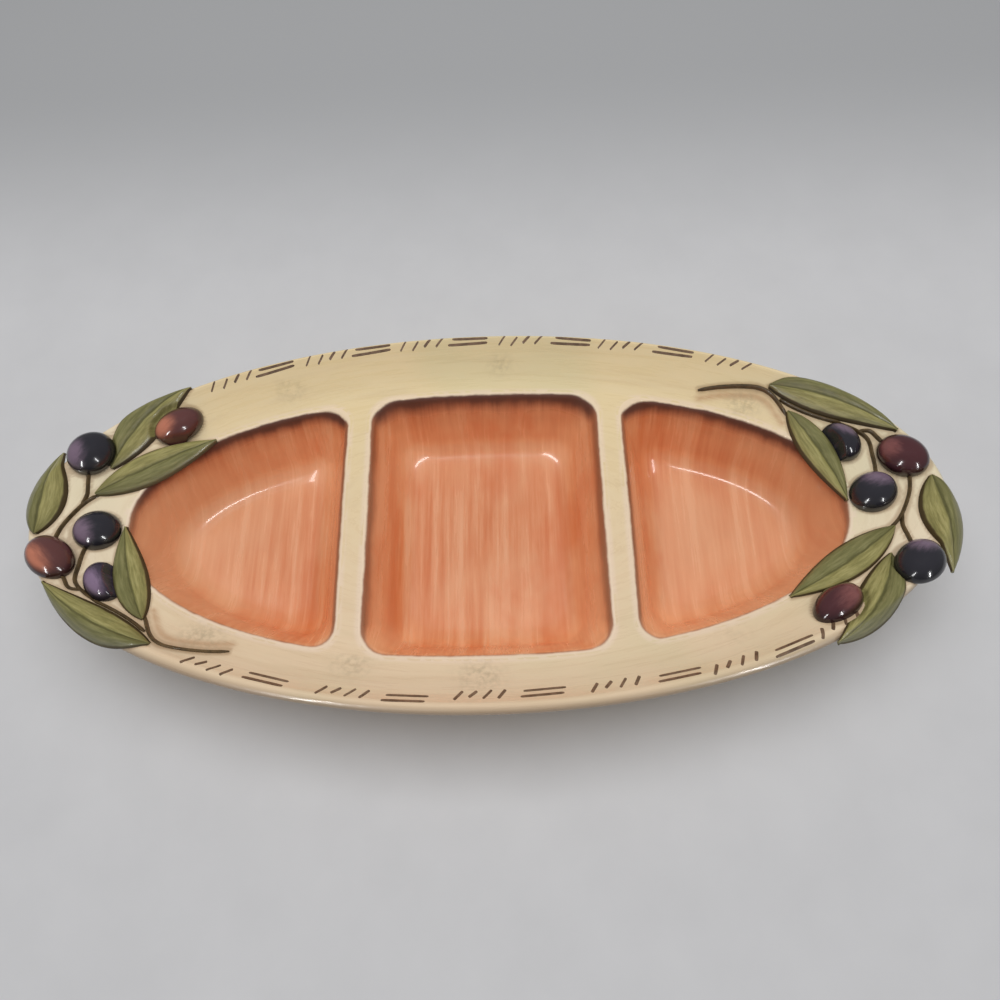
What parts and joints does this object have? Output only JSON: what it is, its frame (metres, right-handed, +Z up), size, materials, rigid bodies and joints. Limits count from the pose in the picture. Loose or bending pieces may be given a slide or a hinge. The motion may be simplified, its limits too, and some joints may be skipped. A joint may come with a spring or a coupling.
{
  "type": "olive dish",
  "caption": "Long oval glazed earthenware olive dish: flared cream rim, peach wells split by dividers, and a moulded olive sprig on each end.",
  "frame": {"origin": "on the table, under the middle of the foot ring", "axes": "+X along the dish to its right-hand end, +Y to its back, +Z up out of the wells"},
  "size_m": [0.4005, 0.1744, 0.0622],
  "materials": {
    "cream_glaze": "gloss",
    "bare_clay": "matte",
    "peach_glaze": "gloss",
    "leaf_green": "gloss",
    "stem_brown": "gloss",
    "olive_navy": "gloss",
    "olive_plum": "gloss",
    "olive_maroon": "gloss",
    "olive_violet": "gloss"
  },
  "bodies": {
    "root": {"dish_body": "cream_glaze", "foot_ring": "bare_clay", "left_well_glaze": "peach_glaze", "middle_well_glaze": "peach_glaze", "right_well_glaze": "peach_glaze", "left_well_leaf": "leaf_green", "left_inner_leaf": "leaf_green", "left_end_leaf": "leaf_green", "left_upper_leaf": "leaf_green", "left_lower_leaf": "leaf_green", "left_upper_olive": "olive_plum", "left_shoulder_olive": "olive_navy", "left_middle_olive": "olive_navy", "left_end_olive": "olive_plum", "left_tucked_olive": "olive_violet", "left_main_stem": "stem_brown", "left_fork_stem": "stem_brown", "left_middle_stalk": "stem_brown", "left_end_stalk": "stem_brown", "left_upper_stem": "stem_brown", "left_shoulder_stalk": "stem_brown", "right_well_leaf": "leaf_green", "right_inner_leaf": "leaf_green", "right_end_leaf": "leaf_green", "right_upper_leaf": "leaf_green", "right_lower_leaf": "leaf_green", "right_upper_olive": "olive_maroon", "right_shoulder_olive": "olive_navy", "right_middle_olive": "olive_navy", "right_end_olive": "olive_maroon", "right_tucked_olive": "olive_navy", "right_main_stem": "stem_brown", "right_fork_stem": "stem_brown", "right_middle_stalk": "stem_brown", "right_end_stalk": "stem_brown", "right_upper_stem": "stem_brown", "right_shoulder_stalk": "stem_brown"}
  },
  "joints": []
}
